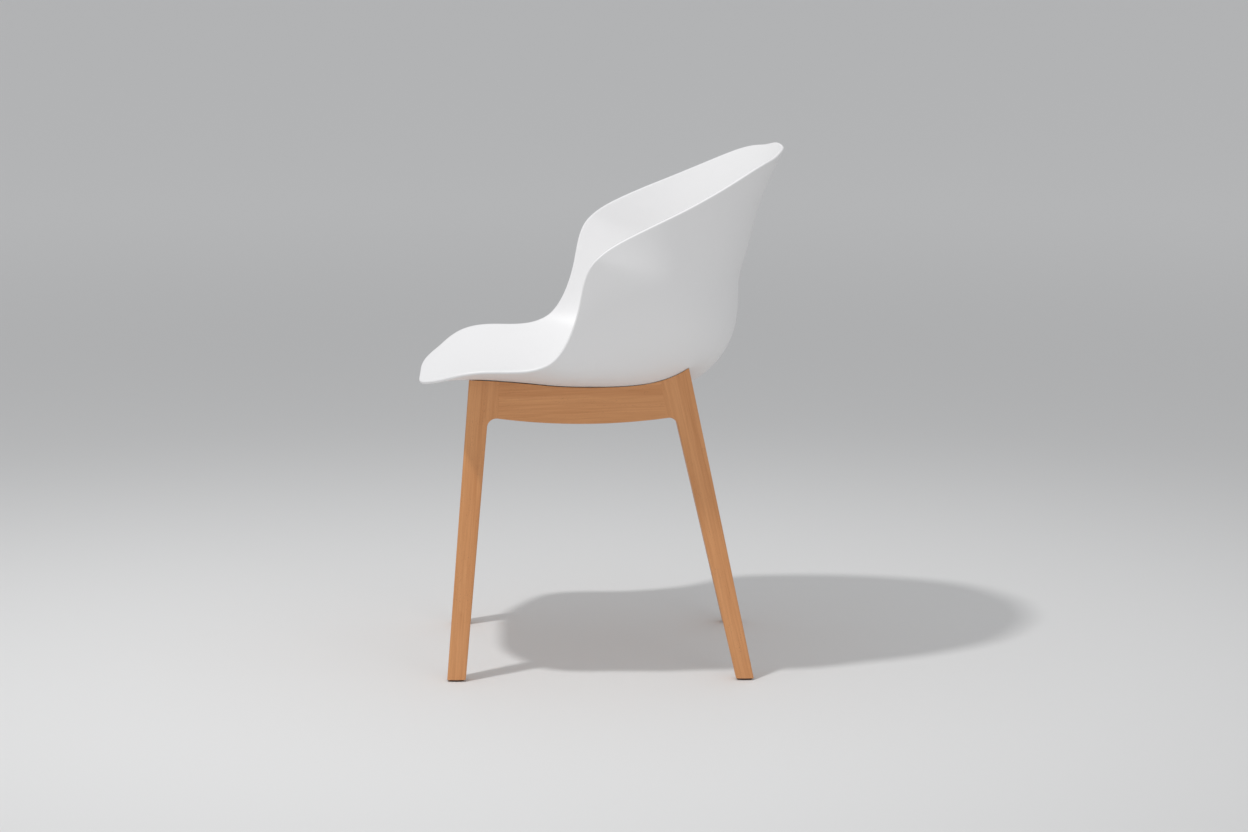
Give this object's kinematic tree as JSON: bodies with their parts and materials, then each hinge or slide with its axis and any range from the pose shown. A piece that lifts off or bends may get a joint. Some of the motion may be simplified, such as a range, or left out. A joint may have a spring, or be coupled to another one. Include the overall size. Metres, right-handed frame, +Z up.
{
  "type": "dining chair",
  "caption": "Dining chair: a moulded plastic tub shell with low wrap-round arms and a high curved back, on four raked and splayed wooden legs joined by curved side rails.",
  "frame": {"origin": "on the floor, under the middle of the chair's overall box", "axes": "+Z up; the chair faces -Y; +X is towards the sitter's left"},
  "size_m": [0.58, 0.5586, 0.7879],
  "materials": {
    "shell_plastic": "white moulded polypropylene with a faint satin sheen",
    "frame_wood": "warm reddish-brown beech under a thin satin lacquer",
    "block_wood": "plain sawn and sanded beech, unstained",
    "dowel_wood": "bare turned beech",
    "zinc_screw": "bright zinc-plated steel",
    "nail_steel": "plain drawn steel",
    "insert_brass": "plain machined brass",
    "buffer_rubber": "black soft rubber",
    "glide_nylon": "dark brown nylon"
  },
  "bodies": {
    "root": {"seat_shell": "shell_plastic", "front_leg_left": "frame_wood", "front_leg_right": "frame_wood", "rear_leg_left": "frame_wood", "rear_leg_right": "frame_wood", "side_rail_left": "frame_wood", "side_rail_right": "frame_wood", "front_cross_rail": "frame_wood", "rear_cross_rail": "frame_wood", "corner_block_front_left": "block_wood", "corner_block_front_right": "block_wood", "corner_block_rear_left": "block_wood", "corner_block_rear_right": "block_wood", "corner_block_screws": "zinc_screw", "side_rail_dowels_left": "dowel_wood", "side_rail_dowels_right": "dowel_wood", "front_cross_rail_dowels": "dowel_wood", "rear_cross_rail_dowels": "dowel_wood", "threaded_inserts": "insert_brass", "shell_screws": "zinc_screw", "shell_screw_washers": "zinc_screw", "shell_buffers_left": "buffer_rubber", "shell_buffers_right": "buffer_rubber", "glide_front_left": "glide_nylon", "glide_front_right": "glide_nylon", "glide_rear_left": "glide_nylon", "glide_rear_right": "glide_nylon", "glide_nails": "nail_steel"}
  },
  "joints": []
}
